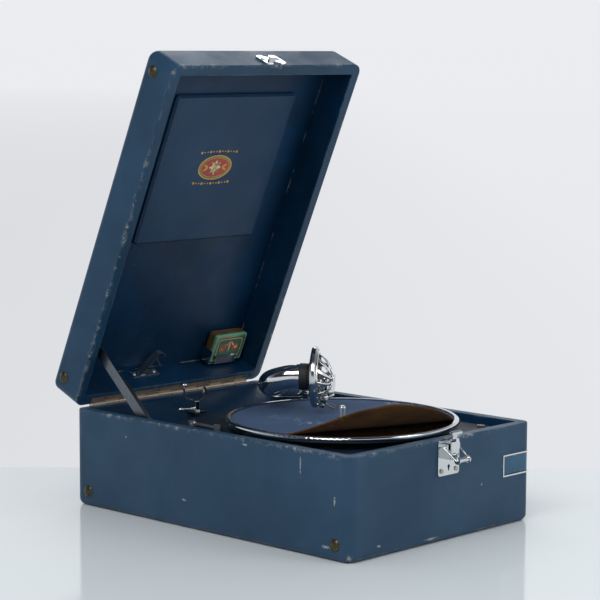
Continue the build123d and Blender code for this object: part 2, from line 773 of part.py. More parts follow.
def carry_handle():
    """A covered strap handle that hangs from two metal eyes."""
    half = handle_span / 2
    x = right + 8
    z = handle_z
    low = z - 26
    corners = [(handle_y - half, z - 7), (handle_y - half + 4, low), (handle_y + half - 4, low), (handle_y + half, z - 7)]
    path = FilletPolyline(*[(x, cy, cz) for cy, cz in corners], radius=11)
    section = Plane(origin=path @ 0, z_dir=path % 0)
    part = sweep(section * Circle(5.2), path=path)
    for s in (-1, 1):
        y = handle_y + s * half
        part += Pos(x, y, z) * Rot(90, 0, 0) * Cylinder(4.4, 7)
        part += block(x - 3.2, x + 3.2, y - 3.4, y + 3.4, z - 9, z - 1)
    for s in (-1, 1):
        part -= Pos(x, handle_y + s * half, z) * Rot(90, 0, 0) * Cylinder(2 + running, 12)
    return part


def latch_plate():
    """The back plate, with the upright box that the hook slides in and a key slot below."""
    w, h = latch_size
    z = latch_top - h / 2
    place = facing(latch_x, front, z, (0, -1, 0))
    plate = place * extrude(RectangleRounded(w, h, 3), 1.8)
    guide = block(latch_x - 6.5, latch_x + 6.5, front - 11, front - 1, latch_top - 19, latch_top - 1)
    guide = fillet(guide.edges().filter_by(Axis.Z).sort_by(Axis.Y)[:2], 1.5)
    guide -= block(latch_x - 4.6, latch_x + 4.6, front - 9, front - 2.6, latch_top - 17, latch_top + 1)
    part = plate + guide
    part -= Pos(latch_x, front, latch_top - 27) * Rot(90, 0, 0) * Cylinder(1.9, 8)
    part -= block(latch_x - 0.9, latch_x + 0.9, front - 4, front + 1, latch_top - 31.5, latch_top - 27)
    for s in (-1, 1):
        x = latch_x + s * 8.2
        part += block(min(x, x + s * 2), max(x, x + s * 2), front - 8, front - 1, latch_top - 10, latch_top - 3)
        part -= Pos(x + s, front - 5, latch_top - 6.5) * Rot(0, 90, 0) * Cylinder(0.9, 6)
    return part


def latch_screws():
    row = []
    for dx in (-11.5, 11.5):
        row.append(facing(latch_x + dx, front - 1.8, latch_top - 31, (0, -1, 0)) * screw_head(2.4, 1.1))
    return Compound(children=row)


def latch_hook():
    """The spring tongue with a T head that catches on the lid's keeper."""
    z = latch_top
    tongue = block(latch_x - 3.4, latch_x + 3.4, front - 6.8, front - 5.2, z - 4, z + 9)
    head = block(latch_x - 8, latch_x + 8, front - 8.2, front - 4.4, z + 8, z + 11)
    head = fillet(head.edges().filter_by(Axis.Y), 1.2)
    part = tongue + head
    pin = Pos(latch_x, front - 6, z - 4) * Rot(0, 90, 0) * Cylinder(1.6, 8.4)
    part += pin
    return part.rotate(Axis((latch_x, front - 6, z - 4), (1, 0, 0)), 20)


def bail_frame():
    """The bail swings on a level axis beside the box; this is its rest slope."""
    return (latch_x, front - 5, latch_top - 6.5)


def latch_bail():
    """The wire bail and its finger roller."""
    x, y, z = bail_frame()
    part = None
    for s in (-1, 1):
        side = rod((x + s * 8.3, y, z), (x + s * 12.2, y, z), 0.85) + Pos(x + s * 12.2, y, z) * Sphere(0.85)
        leg = rod((x + s * 12.2, y, z), (x + s * 10.2, y, z - 19), 0.85) + Pos(x + s * 10.2, y, z - 19) * Sphere(0.85)
        side += leg
        part = side if part is None else part + side
    bar = Pos(x, y, z - 19) * Rot(0, 90, 0) * Cylinder(0.85, 20.4)
    roller = Pos(x, y, z - 19) * Rot(0, 90, 0) * (Cylinder(2.6, 17) + Pos(0, 0, 8.0) * Cylinder(3.8, 1.6))
    roller += Pos(x - 8.0, y, z - 19) * Rot(0, 90, 0) * Cylinder(3.8, 1.6)
    part = part + bar + roller
    return part.rotate(Axis((x, y, z), (1, 0, 0)), -52)


def keeper_plate():
    """The scalloped catch plate on the lid's front."""
    x = latch_x + 4
    place = facing(x, front, lid_floor + 12.5, (0, -1, 0))
    outline = RectangleRounded(31, 22, 5)
    outline -= Pos(0, 11.5) * Circle(5.4) + Pos(0, -13) * Circle(6.5)
    plate = place * extrude(outline, 1.6)
    hook = block(x - 5, x + 5, front - 5, front - 1, lid_floor + 9.6, lid_floor + 12)
    part = plate + hook
    for dx in (-11, 11):
        part += facing(x + dx, front - 1.6, lid_floor + 14, (0, -1, 0)) * screw_head(2.2, 1.0)
    return opened(part)


def wrap_band(low, high, grow):
    """The case's own outline as a solid slab, grown a little."""
    slab = Pos(0, 0, (low + high) / 2) * Box(case_width + 2 * grow, case_length + 2 * grow, high - low)
    return fillet(slab.edges().filter_by(Axis.Z), corner_radius + grow)


def drawer_sector(reach, low, high):
    px, py = drawer_pivot
    disc = Pos(px, py, (low + high) / 2) * Cylinder(reach, high - low)
    return disc & block(px, right + 5, front - 5, py + reach, low, high)


def needle_drawer():
    """A quadrant tray that swings out of the corner on an upright pin."""
    low, high = drawer_low + 0.8, drawer_high - 0.8
    px, py = drawer_pivot
    tray = drawer_sector(drawer_reach, low, high) & wrap_band(low, high, 0)
    hub = Pos(px, py, (low + high) / 2) * Cylinder(2.7, high - low)
    tray += hub
    pocket = drawer_sector(drawer_reach - 2, low + 2, high + 1) & wrap_band(low, high + 1, -3)
    pocket -= Pos(px, py, 64) * Cylinder(8, 40)
    tray -= pocket
    divider = Pos(px, py, 0) * Rot(0, 0, 45) * block(6, drawer_reach - 1, -0.8, 0.8, low, high - 3)
    tray += divider & (drawer_sector(drawer_reach - 1, low, high) & wrap_band(low, high, -1))
    tray -= Pos(px, py, 64) * Cylinder(drawer_pin_radius + running, 60)
    return tray


def drawer_frame():
    """The bright frame round the corner opening, with the drawer's pin."""
    low, high = drawer_low, drawer_high
    px, py = drawer_pivot
    ring = wrap_band(low - 1.6, high + 1.6, 0.7) - wrap_band(low - 2, high + 2, -1.6)
    edge_x = px - 4
    edge_y = py + math.sqrt((drawer_reach + 1.5) ** 2 - (right - px) ** 2)
    window = block(edge_x, right + 5, front - 5, edge_y, low - 1.6, high + 1.6)
    inside = block(edge_x + 1.6, right + 5, front - 5, edge_y - 1.6, low, high)
    part = (ring & window) - inside
    part &= block(edge_x, right + 5, front - 0.7, edge_y + 5, low - 3, high + 3) + window
    return part - wrap_band(low - 2, high + 2, 0) 


def drawer_pin():
    px, py = drawer_pivot
    return Pos(px, py, (drawer_low + drawer_high) / 2) * Cylinder(drawer_pin_radius, drawer_high - drawer_low + 12)


def crank_clip():
    """An empty bent spring clip on the lid's rear wall, for the stowed crank."""
    z = lid_ceiling - 11
    wall_y = back - wall
    base = block(-42, -3, wall_y - 1.2, wall_y, z - 5, z + 5)
    strip = trace(Polyline((-24, wall_y - 0.8), (-30, wall_y - 0.8), (-14, 168.5), (-5, 181)), 1.2)
    curl = trace(ThreePointArc((-14, 168.5), (-6, 164.5), (0, 170.5)), 1.2)
    part = base + Pos(0, 0, z - 4.5) * extrude(strip, 9) + Pos(0, 0, z - 3) * extrude(curl, 6)
    for x in (-38, -8):
        part += facing(x, wall_y - 1.2, z, (0, -1, 0)) * screw_head(2.2, 1.0)
    return opened(part)


def tin_clip():
    """A folded tray on the lid that grips the needle tin."""
    z = lid_ceiling
    shelf = block(76, 116, 186.0, 187.2, z - 17, z)
    lip = block(80, 112, 176, 187.2, z - 18.2, z - 17)
    back_plate = block(74, 118, 160, 187.2, z - 1.2, z)
    arm = block(71.8, 73, 170, 187.2, z - 17, z)
    tie = block(71.8, 76, 186, 187.2, z - 17, z)
    part = shelf + lip + back_plate + arm + tie
    for x in (82, 110):
        part += Pos(x, 165, z - 1.2) * screw_head(2.0, 0.9).rotate(Axis.X, 180)
    return opened(part)


def tin_piece(z0, z1, grow):
    part = block(74.4 - grow, 124.4 + grow, 150.6 - grow, 185.6 + grow, z0, z1)
    part = fillet(part.edges().filter_by(Axis.Z), 3)
    return part


def tin_box():
    z = lid_ceiling - 2.4
    part = tin_piece(z - 10, z, 0)
    top = part.faces().sort_by(Axis.Z)[-1]
    part = fillet(top.edges(), 1.2)
    part -= block(75.4, 123.4, 151.6, 184.6, z - 12, z - 1)
    return opened(part)


def tin_cover():
    z = lid_ceiling - 2.4
    part = block(74.4, 124.4, 150.6, 185.6, z - 13.6, z - 10.1)
    part = fillet(part.edges().filter_by(Axis.Z), 3)
    low = part.faces().sort_by(Axis.Z)[0]
    part = fillet(low.edges(), 1.2)
    return opened(part)


save("base_case", base_case())
save("base_studs", stud_row(16.5))
save("lid_case", lid_case())
save("lid_studs", opened(stud_row(closed_height - 15.5)))
save("lid_panel", lid_panel())
save("hinge_base_leaf", hinge_half(0, base_height - leaf, base_height, base_height))
save("hinge_lid_leaf", opened(hinge_half(1, lid_floor, lid_floor + leaf, lid_floor)))
save("hinge_pin", hinge_pin())
save("stay_bar", stay_bar())
save("stay_bracket", stay_bracket())
save("stay_guide", stay_guide())
save("motor_board", motor_board())
save("board_screws", board_screws())
save("horn_deflector", horn_deflector())
save("horn_baffle", horn_baffle())
save("horn_throat", horn_throat())
save("turntable_plate", turntable_plate())
save("turntable_spindle", turntable_spindle())
save("turntable_mat", turntable_mat())
save("tonearm_base", tonearm_base())
save("arm_swivel", arm_swivel())
save("arm_tube", arm_tube())
save("arm_neck", arm_neck())
save("soundbox_collar", soundbox_collar())
save("soundbox_back", soundbox_back())
save("soundbox_diaphragm", soundbox_diaphragm())
save("soundbox_grille", soundbox_grille())
save("stylus_bar", stylus_bar())
save("needle_screw", needle_screw())
save("brake_lever", brake_lever())
save("speed_plate", speed_plate())
save("speed_lever", speed_lever())
save("arm_rest_clip", arm_rest_clip())
save("motor_unit", motor_unit())
save("crank_escutcheon", crank_escutcheon())
save("crank_shaft", crank_shaft())
save("crank_grip", crank_grip())
save("handle_brackets", handle_brackets())
save("carry_handle", carry_handle())
save("latch_plate", latch_plate())
save("latch_screws", latch_screws())
save("latch_hook", latch_hook())
save("latch_bail", latch_bail())
save("keeper_plate", keeper_plate())
save("needle_drawer", needle_drawer())
save("drawer_frame", drawer_frame())
save("drawer_pin", drawer_pin())
save("crank_clip", crank_clip())
save("tin_clip", tin_clip())
save("tin_box", tin_box())
save("tin_cover", tin_cover())
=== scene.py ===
import bpy
import math
import random
from mathutils import Matrix, Vector
import numpy as np


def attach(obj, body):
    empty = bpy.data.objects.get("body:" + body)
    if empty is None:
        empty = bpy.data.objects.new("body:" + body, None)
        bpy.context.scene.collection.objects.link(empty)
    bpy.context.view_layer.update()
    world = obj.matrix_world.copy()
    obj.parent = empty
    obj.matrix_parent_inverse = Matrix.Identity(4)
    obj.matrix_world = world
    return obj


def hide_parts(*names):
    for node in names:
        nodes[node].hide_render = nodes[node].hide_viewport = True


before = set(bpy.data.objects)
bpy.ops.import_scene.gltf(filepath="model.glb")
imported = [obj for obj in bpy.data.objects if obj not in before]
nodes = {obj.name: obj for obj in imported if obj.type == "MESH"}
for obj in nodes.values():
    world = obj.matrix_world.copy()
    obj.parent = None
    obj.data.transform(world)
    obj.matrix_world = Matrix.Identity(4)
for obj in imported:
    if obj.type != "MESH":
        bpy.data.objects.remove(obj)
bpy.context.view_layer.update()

HINGE = Vector((0, 0.2036, 0.1065))
LID_TURN = math.radians(66.4)
CASE_INNER = (0.1316, 0.1916)  # half width and half length inside the walls
CASE_WORN = ((0.1365, 0.1428), (0.1965, 0.2028))  # where wear starts and is full, outwards
AWAY = (0.7246, 0.6892, 0.0)  # the level direction from the viewer to the object
RIGHTWARD = (0.6892, -0.7246, 0.0)


def from_hex(text):
    """A colour written as it looks, as the linear numbers a shader takes."""
    values = [int(text[i:i + 2], 16) / 255 for i in (0, 2, 4)]
    linear = [v / 12.92 if v < 0.04045 else ((v + 0.055) / 1.055) ** 2.4 for v in values]
    return (*linear, 1.0)


class Graph:
    """Shader nodes that are added to a tree one at a time."""

    def __init__(self, tree):
        self.tree = tree

    def node(self, kind, values=None, **settings):
        made = self.tree.nodes.new(kind)
        for key, value in settings.items():
            setattr(made, key, value)
        for key, value in (values or {}).items():
            self.feed(made.inputs[key], value)
        return made

    def feed(self, socket, value):
        if isinstance(value, bpy.types.NodeSocket):
            self.tree.links.new(value, socket)
        else:
            socket.default_value = value

    def span(self, value, low, high, to_low=0.0, to_high=1.0):
        made = self.node("ShaderNodeMapRange", {
            "Value": value, "From Min": low, "From Max": high, "To Min": to_low, "To Max": to_high})
        return made.outputs["Result"]

    def calc(self, kind, a, b=0.0):
        return self.node("ShaderNodeMath", {0: a, 1: b}, operation=kind).outputs[0]

    def vector(self, kind, values, output=0):
        return self.node("ShaderNodeVectorMath", values, operation=kind).outputs[output]

    def blend(self, share, a, b):
        made = self.node("ShaderNodeMix", {"Factor": share}, data_type="RGBA")
        for index, value in ((6, a), (7, b)):
            self.feed(made.inputs[index], from_hex(value) if isinstance(value, str) else value)
        return made.outputs[2]


class Finish(Graph):
    """A node material that is put together a step at a time."""

    def __init__(self, name, roughness, metallic=0.0, specular=0.5):
        self.material = bpy.data.materials.new(name)
        self.material.use_nodes = True
        super().__init__(self.material.node_tree)
        self.shader = self.tree.nodes["Principled BSDF"]
        self.shader.inputs["Roughness"].default_value = roughness
        self.shader.inputs["Metallic"].default_value = metallic
        self.shader.inputs["Specular IOR Level"].default_value = specular
        self.normal = None
        self.place = self.node("ShaderNodeTexCoord").outputs["Object"]

    def stretched(self, scale, turn=(0, 0, 0)):
        values = {"Vector": self.place, "Scale": scale, "Rotation": turn}
        return self.node("ShaderNodeMapping", values).outputs["Vector"]

    def noise(self, scale, detail=4.0, rough=0.55, where=None):
        made = self.node("ShaderNodeTexNoise", {
            "Vector": where or self.place, "Scale": scale, "Detail": detail, "Roughness": rough})
        return made.outputs["Fac"]

    def cells(self, scale, feature="F1", where=None):
        values = {"Vector": where or self.place, "Scale": scale}
        return self.node("ShaderNodeTexVoronoi", values, feature=feature).outputs["Distance"]

    def edges(self, reach):
        """1 along sharp edges and 0 on the flats."""
        soft = self.node("ShaderNodeBevel", {"Radius": reach}, samples=6).outputs[0]
        true = self.node("ShaderNodeNewGeometry").outputs["Normal"]
        dot = self.vector("DOT_PRODUCT", {0: soft, 1: true}, "Value")
        return self.span(self.calc("SUBTRACT", 1.0, dot), 0.0, 0.18)

    def shut(self):
        """The place that a point of the raised lid has when the lid is shut."""
        moved = self.vector("SUBTRACT", {0: self.place, 1: tuple(HINGE)})
        turned = self.node("ShaderNodeMapping", {"Vector": moved, "Rotation": (LID_TURN, 0, 0)})
        return self.vector("ADD", {0: turned.outputs[0], 1: tuple(HINGE)})

    def case_masks(self, where, low, high, inner_low, inner_high):
        """Shares of a case's surface that lie inside it, and along its outer edges."""
        x, y, z = self.node("ShaderNodeSeparateXYZ", {0: where}).outputs
        across, along = self.calc("ABSOLUTE", x), self.calc("ABSOLUTE", y)
        limits = [("LESS_THAN", along, CASE_INNER[1]), ("LESS_THAN", z, inner_high),
                  ("GREATER_THAN", z, inner_low)]
        inside = self.calc("LESS_THAN", across, CASE_INNER[0])
        for kind, value, limit in limits:
            inside = self.calc("MULTIPLY", inside, self.calc(kind, value, limit))
        up = self.calc("ABSOLUTE", self.calc("SUBTRACT", z, (low + high) / 2))
        near = [self.span(across, *CASE_WORN[0]), self.span(along, *CASE_WORN[1]),
                self.span(up, (high - low) / 2 - 0.006, (high - low) / 2 - 0.0004)]
        pairs = [self.calc("MULTIPLY", near[a], near[b]) for a, b in ((0, 1), (0, 2), (1, 2))]
        return inside, self.calc("MAXIMUM", self.calc("MAXIMUM", pairs[0], pairs[1]), pairs[2])

    def mark(self, centre, size):
        """1 in a small ragged spot of a given place and half size."""
        offset = self.vector("SUBTRACT", {0: self.place, 1: centre})
        scaled = self.vector("DIVIDE", {0: offset, 1: size})
        distance = self.vector("LENGTH", {0: scaled}, "Value")
        uneven = self.span(self.noise(900.0, 3.0), 0.3, 0.7, -0.7, 0.9)
        return self.span(self.calc("ADD", distance, uneven), 1.0, 0.6)

    def colour(self, value):
        self.tree.links.new(value, self.shader.inputs["Base Color"])

    def roughness(self, value):
        self.tree.links.new(value, self.shader.inputs["Roughness"])

    def bump(self, height, distance, strength):
        values = {"Height": height, "Distance": distance, "Strength": strength}
        if self.normal is not None:
            values["Normal"] = self.normal
        self.normal = self.node("ShaderNodeBump", values).outputs[0]
        self.tree.links.new(self.normal, self.shader.inputs["Normal"])


def leathercloth(name, dark, pale, worn, wear, roughness=0.4, case=None, marks_at=()):
    """Grained coated cloth: pebbles, cloudy tone, rubbed edges, scuffs and fine scratches."""
    f = Finish(name, roughness, specular=0.26)
    tone = f.blend(f.span(f.noise(9.0, 5.0), 0.3, 0.7), dark, pale)
    edge = None
    if case:
        shut, *limits = case
        inside, edge = f.case_masks(f.shut() if shut else f.place, *limits)
        # Inside the case the cloth turns to a darker navy lining. That navy is darkened further as
        # painted shade of the case's interior.
        lining_and_painted_shade = f.blend(f.span(f.noise(12.0, 5.0), 0.3, 0.7), "001a30", "013458")
        tone = f.blend(inside, tone, lining_and_painted_shade)
    weave = f.cells(1050.0)
    tone = f.blend(f.span(weave, 0.25, 0.75, 0.0, 0.28), tone, dark)
    patch = f.span(f.noise(34.0, 6.0, 0.7), 0.50, 0.62)
    rubbed = f.calc("MULTIPLY", f.edges(0.0022), patch)
    if edge is not None:
        fray = f.span(f.noise(120.0, 6.0, 0.75), 0.50, 0.64)
        fray = f.calc("MULTIPLY", fray, f.span(f.noise(13.0, 3.0), 0.42, 0.6))
        bare = f.calc("MULTIPLY", f.span(edge, 0.25, 0.9), fray)
        rubbed = f.calc("MAXIMUM", rubbed, bare)
    rubbed = f.calc("MULTIPLY", rubbed, wear)
    for centre, size in marks_at:
        rubbed = f.calc("MAXIMUM", rubbed, f.mark(centre, size))
    long = f.noise(1.0, 3.0, 0.6, f.stretched((900.0, 900.0, 60.0), (0.3, 0.2, 0.4)))
    where = f.span(f.noise(7.0, 3.0), 0.52, 0.66)
    scratch = f.calc("MULTIPLY", f.span(long, 0.70, 0.76), where)
    specks = f.calc("MULTIPLY", f.span(f.noise(260.0, 3.0, 0.7), 0.70, 0.74), where)
    marks = f.calc("MAXIMUM", rubbed, f.calc("MULTIPLY", f.calc("MAXIMUM", scratch, specks), 0.5 * wear))
    f.colour(f.blend(marks, tone, worn))
    f.roughness(f.span(f.noise(21.0, 4.0), 0.3, 0.7, roughness - 0.06, roughness + 0.12))
    grain = f.calc("ADD", f.calc("MULTIPLY", weave, 0.8), f.calc("MULTIPLY", f.noise(2600.0, 2.0), 0.35))
    f.bump(f.noise(75.0, 3.0), 0.0006, 0.35)
    f.bump(grain, 0.00016, 0.75)
    return f.material


def plated(name, base, roughness, pits, stain, spots):
    """Nickel or chrome plating, with a cloudy polish, hairlines, pits and stains."""
    f = Finish(name, roughness, metallic=1.0)
    cloud = f.span(f.noise(55.0, 6.0, 0.65), 0.42, 0.72)
    fleck = f.span(f.noise(700.0, 3.0, 0.6), 0.70 - pits, 0.78 - pits)
    spoiled = f.calc("MULTIPLY", f.calc("MAXIMUM", f.calc("MULTIPLY", cloud, 0.35), fleck), spots)
    f.colour(f.blend(spoiled, base, stain))
    f.roughness(f.span(spoiled, 0.0, 1.0, roughness, roughness + 0.5))
    hair = f.noise(1.0, 2.0, 0.5, f.stretched((300.0, 3800.0, 2600.0), (0.2, 0.5, 0.9)))
    f.bump(hair, 0.00002, 0.25)
    f.bump(f.noise(420.0, 3.0), 0.00008, 0.2)
    return f.material


def enamelled(name, low, high, roughness, worn=None):
    """Paint, moulded rubber or bare board with a slight texture and tone."""
    f = Finish(name, roughness)
    tone = f.blend(f.span(f.noise(30.0, 5.0), 0.3, 0.7), low, high)
    if worn:
        chips = f.calc("MULTIPLY", f.edges(0.0012), f.span(f.noise(160.0, 4.0), 0.46, 0.56))
        chips = f.calc("MAXIMUM", chips, f.span(f.noise(240.0, 4.0, 0.7), 0.68, 0.71))
        tone = f.blend(chips, tone, worn)
    f.colour(tone)
    f.roughness(f.span(f.noise(45.0, 4.0), 0.3, 0.7, roughness - 0.05, roughness + 0.1))
    f.bump(f.noise(600.0, 3.0), 0.00006, 0.6)
    return f.material


def mica(name):
    """Thin pale flakes under a gloss."""
    f = Finish(name, 0.12, specular=0.7)
    flakes = f.cells(90.0, "F1", f.stretched((1.0, 1.0, 2.4)))
    f.colour(f.blend(f.span(flakes, 0.1, 0.9), "c9bb9d", "8d7c5f"))
    f.bump(f.noise(120.0, 4.0), 0.0001, 0.3)
    return f.material


def felt(name, low, high, scuff, sheen):
    """Napped cloth with a visible weave, lint and small pale scuffs."""
    f = Finish(name, 0.92, specular=0.15)
    f.shader.inputs["Sheen Weight"].default_value = sheen
    f.shader.inputs["Sheen Roughness"].default_value = 0.5
    f.shader.inputs["Sheen Tint"].default_value = from_hex("8c9bb0")
    nap = f.noise(900.0, 4.0, 0.75)
    tone = f.blend(f.span(f.noise(26.0, 5.0, 0.6), 0.3, 0.7), low, high)
    tone = f.blend(f.span(nap, 0.35, 0.65, 0.0, 0.35), tone, low)
    lint = f.span(f.noise(330.0, 4.0, 0.8), 0.70, 0.76)
    where = f.span(f.noise(16.0, 3.0), 0.58, 0.66)
    patch = f.calc("MULTIPLY", where, f.span(f.noise(190.0, 4.0), 0.52, 0.62))
    f.colour(f.blend(f.calc("MULTIPLY", f.calc("MAXIMUM", lint, patch), 0.6), tone, scuff))
    f.bump(nap, 0.0004, 0.6)
    f.bump(f.noise(60.0, 3.0), 0.0008, 0.35)
    return f.material


def hide(name):
    """Dark strap leather with a fine crease."""
    f = Finish(name, 0.48)
    f.colour(f.blend(f.span(f.noise(40.0, 6.0), 0.3, 0.7), "1b2633", "2c3d50"))
    f.bump(f.cells(520.0, "DISTANCE_TO_EDGE"), 0.0002, 0.6)
    return f.material


BASE_MARKS = [  # the place and the half size of each bare spot
    ((-0.143, -0.137, 0.091), (0.002, 0.0009, 0.010)),
    ((-0.143, -0.183, 0.060), (0.002, 0.0012, 0.004)),
    ((-0.1405, -0.2005, 0.0045), (0.0028, 0.0028, 0.0045)),
    ((-0.143, -0.172, 0.013), (0.002, 0.005, 0.0016)),
    ((-0.143, 0.120, 0.085), (0.002, 0.0012, 0.0012)),
    ((-0.143, 0.030, 0.030), (0.002, 0.0030, 0.0010)),
    ((-0.143, -0.060, 0.100), (0.002, 0.0040, 0.0012)),
    ((-0.020, -0.203, 0.006), (0.009, 0.002, 0.0014)),
    ((-0.100, -0.203, 0.012), (0.003, 0.002, 0.0012)),
    ((0.060, -0.203, 0.050), (0.0012, 0.002, 0.0012)),
]
cloth_out = leathercloth("cloth_outside", "1f3c54", "2f4c66", "9aa0a2", 1.0,
                         case=(False, 0.0, 0.106, 0.0058, 0.2), marks_at=BASE_MARKS)
cloth_lid = leathercloth("cloth_lid", "12344e", "234763", "a3a49c", 1.0,
                         case=(True, 0.107, 0.151, 0.0, 0.1452))
panel_cloth = leathercloth("cloth_panel", "062b48", "163c5c", "5e7084", 0.3, 0.34)
board_cloth = leathercloth("cloth_board", "0a1a28", "12263a", "6d7276", 0.5, 0.45)
chrome = plated("chrome", "d9dcde", 0.10, 0.02, "6f6a60", 0.35)
bright = plated("chrome_clean", "e2e4e6", 0.09, 0.0, "807a70", 0.2)
# A lighter copy of the nickel for the spindle and the brake lever. Its brighter base colour is a painted
# highlight, so that they read as lit.
spindle_nickel_painted_highlight = plated("spindle_nickel_painted_highlight", "e4e6e8", 0.3, 0.02, "807a70", 0.2)
tarnish = plated("tarnished_nickel", "c0b4a6", 0.30, 0.08, "6e5a48", 0.85)
stay_metal = plated("stay_nickel", "6c7278", 0.24, 0.06, "33363a", 0.6)
studded = plated("dark_stud", "55503f", 0.36, 0.12, "201c16", 0.9)
steel = plated("steel", "9ba0a4", 0.24, 0.05, "4e4a44", 0.5)
rubber = enamelled("rubber", "151719", "24272a", 0.55)
grip_paint = enamelled("grip_wood", "0f1011", "1f2022", 0.3, worn="6b5a44")
motor_paint = enamelled("motor_enamel", "2a2d2b", "3b403c", 0.4, worn="7b7f7c")
teal = enamelled("drawer_blue", "154762", "1d587a", 0.3, worn="7f95a3")
tin_green = enamelled("tin_paint", "4d8f77", "74b092", 0.32, worn="7d6a45")
tin_side = enamelled("tin_side", "4a3a20", "6d562f", 0.35, worn="2d2416")
horn_paint = leathercloth("cloth_horn", "08192a", "12304a", "5e7084", 0.5, 0.3)
gold_line = plated("gold_line", "cfa552", 0.42, 0.08, "5a4a2c", 0.7)
red_field = enamelled("red_field", "8e2f22", "ab3c2b", 0.4, worn="4a2a20")
cream_field = enamelled("cream_field", "c9b98c", "dccfa8", 0.45, worn="7d7152")
green_field = enamelled("green_field", "2f5a49", "3f7059", 0.42, worn="23382e")
felt_top = felt("mat_felt", "243a58", "31496b", "b4bcc6", 0.3)
felt_under = felt("mat_underside", "382411", "5e4021", "846640", 0.05)

DRESS = {
    cloth_out: ["base_case"],
    cloth_lid: ["lid_case"],
    panel_cloth: ["lid_panel"],
    board_cloth: ["motor_board"],
    studded: ["base_studs", "lid_studs"],
    tarnish: ["hinge_base_leaf", "hinge_lid_leaf", "hinge_pin", "board_screws", "latch_screws"],
    chrome: [
        "stay_bracket", "turntable_plate", "tonearm_base", "arm_swivel", "arm_tube", "arm_neck",
        "arm_rest_clip", "latch_plate", "latch_hook", "latch_bail", "keeper_plate", "drawer_frame",
        "crank_clip", "tin_clip", "crank_escutcheon", "handle_brackets", "speed_plate"],
    bright: ["speed_lever", "needle_screw"],
    spindle_nickel_painted_highlight: ["turntable_spindle", "brake_lever"],
    steel: ["crank_shaft", "drawer_pin"],
    stay_metal: ["stay_bar", "stay_guide"],
    rubber: ["soundbox_collar"],
    motor_paint: ["motor_unit"],
    teal: ["needle_drawer"],
    tin_green: ["tin_cover"],
    tin_side: ["tin_box"],
    grip_paint: ["crank_grip"],
    horn_paint: ["horn_deflector", "horn_baffle", "horn_throat"],
}
DRESS[hide("handle_leather")] = ["carry_handle"]
DRESS[mica("mica")] = ["soundbox_diaphragm"]
DRESS[plated("soundbox_shell", "c9ccce", 0.14, 0.03, "5a564e", 0.4)] = ["soundbox_back"]
for material, names in DRESS.items():
    for name in names:
        nodes[name].data.materials.clear()
        nodes[name].data.materials.append(material)


def new_piece(name, vertices, faces, materials, body, chosen=None, smooth=True):
    """A mesh piece that rides on a CAD body."""
    mesh = bpy.data.meshes.new(name)
    mesh.from_pydata([tuple(v) for v in vertices], [], faces)
    for material in materials:
        mesh.materials.append(material)
    if chosen is not None:
        mesh.polygons.foreach_set("material_index", chosen)
    mesh.polygons.foreach_set("use_smooth", [smooth] * len(mesh.polygons))
    mesh.validate()
    mesh.update()
    piece = bpy.data.objects.new(name, mesh)
    bpy.context.scene.collection.objects.link(piece)
    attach(piece, body)
    return piece


def curled_mat():
    """The felt mat: flat on the turntable, with its near edge curled up as one stiff old sheet."""
    centre = Vector((0, -0.062, 0.1081))
    radius, hole, thick = 0.118, 0.0046, 0.0021
    start, reach, lift, power = 0.044, 0.063, 0.0295, 2.4
    heading = math.radians(251)
    across = Vector((math.cos(heading), math.sin(heading), 0))
    side = Vector((-across.y, across.x, 0))
    x = np.linspace(0, reach * 1.1, 400)
    h = lift * (x / reach) ** power
    arc = np.concatenate([[0], np.cumsum(np.hypot(np.diff(x), np.diff(h)))])
    rings, spokes = 56, 192
    rng = random.Random(5)
    ripple = [(rng.uniform(0, math.tau), rng.uniform(0.0001, 0.00022)) for _ in range(4)]
    vertices, faces, chosen = [], [], []
    for layer in (0, 1):
        for i in range(rings + 1):
            rho = hole + (radius - hole) * i / rings
            for k in range(spokes):
                phi = math.tau * k / spokes
                u, v = rho * math.cos(phi - heading), rho * math.sin(phi - heading)
                if u > start:
                    plan = start + float(np.interp(u - start, arc, x))
                    t = (plan - start) / reach
                    height, slope = lift * t ** power, lift * power / reach * t ** (power - 1)
                else:
                    plan, height, slope = u, 0.0, 0.0
                wave = sum(a * math.sin(4 * phi * (n + 1) + p) for n, (p, a) in enumerate(ripple))
                height += wave * max(0.0, (rho / radius - 0.8) * 5) * min(1.0, height / 0.01)
                normal = (Vector((0, 0, 1)) - across * slope).normalized()
                point = centre + across * plan + side * v + Vector((0, 0, height))
                rounding = 1.0 if i < rings else 0.6
                vertices.append(point + normal * (thick * (0.5 + (layer - 0.5) * rounding)))
    count = (rings + 1) * spokes
    for i in range(rings):
        for k in range(spokes):
            a, b = i * spokes + k, i * spokes + (k + 1) % spokes
            faces.append((a, b, b + spokes, a + spokes))
            chosen.append(1)
            faces.append((count + a, count + a + spokes, count + b + spokes, count + b))
            chosen.append(0)
    for i, turn in ((0, False), (rings, True)):
        for k in range(spokes):
            a, b = i * spokes + k, i * spokes + (k + 1) % spokes
            quad = (a, b, count + b, count + a)
            faces.append(quad if turn else quad[::-1])
            chosen.append(1 if turn else 0)
    mat = new_piece("felt_mat", vertices, faces, [felt_top, felt_under], "turntable", chosen)
    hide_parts("turntable_mat")


BOX_AXIS = Vector((0.61, -0.7924, 0.0)).normalized()
BOX_ACROSS = Vector((0.7924, 0.61, 0.0)).normalized()
BOX_END = Vector((-6.0, -4.0, 148.5))


def on_box(x, y, z, out):
    """A point in front of the sound box: x across, y up and z outwards, in millimetres."""
    return (BOX_END + BOX_AXIS * (out + z) + BOX_ACROSS * x + Vector((0, 0, y))) / 1000


def swept_strip(vertices, faces, rows):
    """Joins rows of points, each a closed loop of a strip's section, and closes both ends."""
    first, n = len(vertices), len(rows[0])
    for row in rows:
        vertices += row
    for i in range(len(rows) - 1):
        for k in range(n):
            a, b = first + i * n + k, first + i * n + (k + 1) % n
            faces.append((a, b, b + n, a + n))
    faces.append(tuple(first + k for k in reversed(range(n))))
    faces.append(tuple(first + (len(rows) - 1) * n + k for k in range(n)))


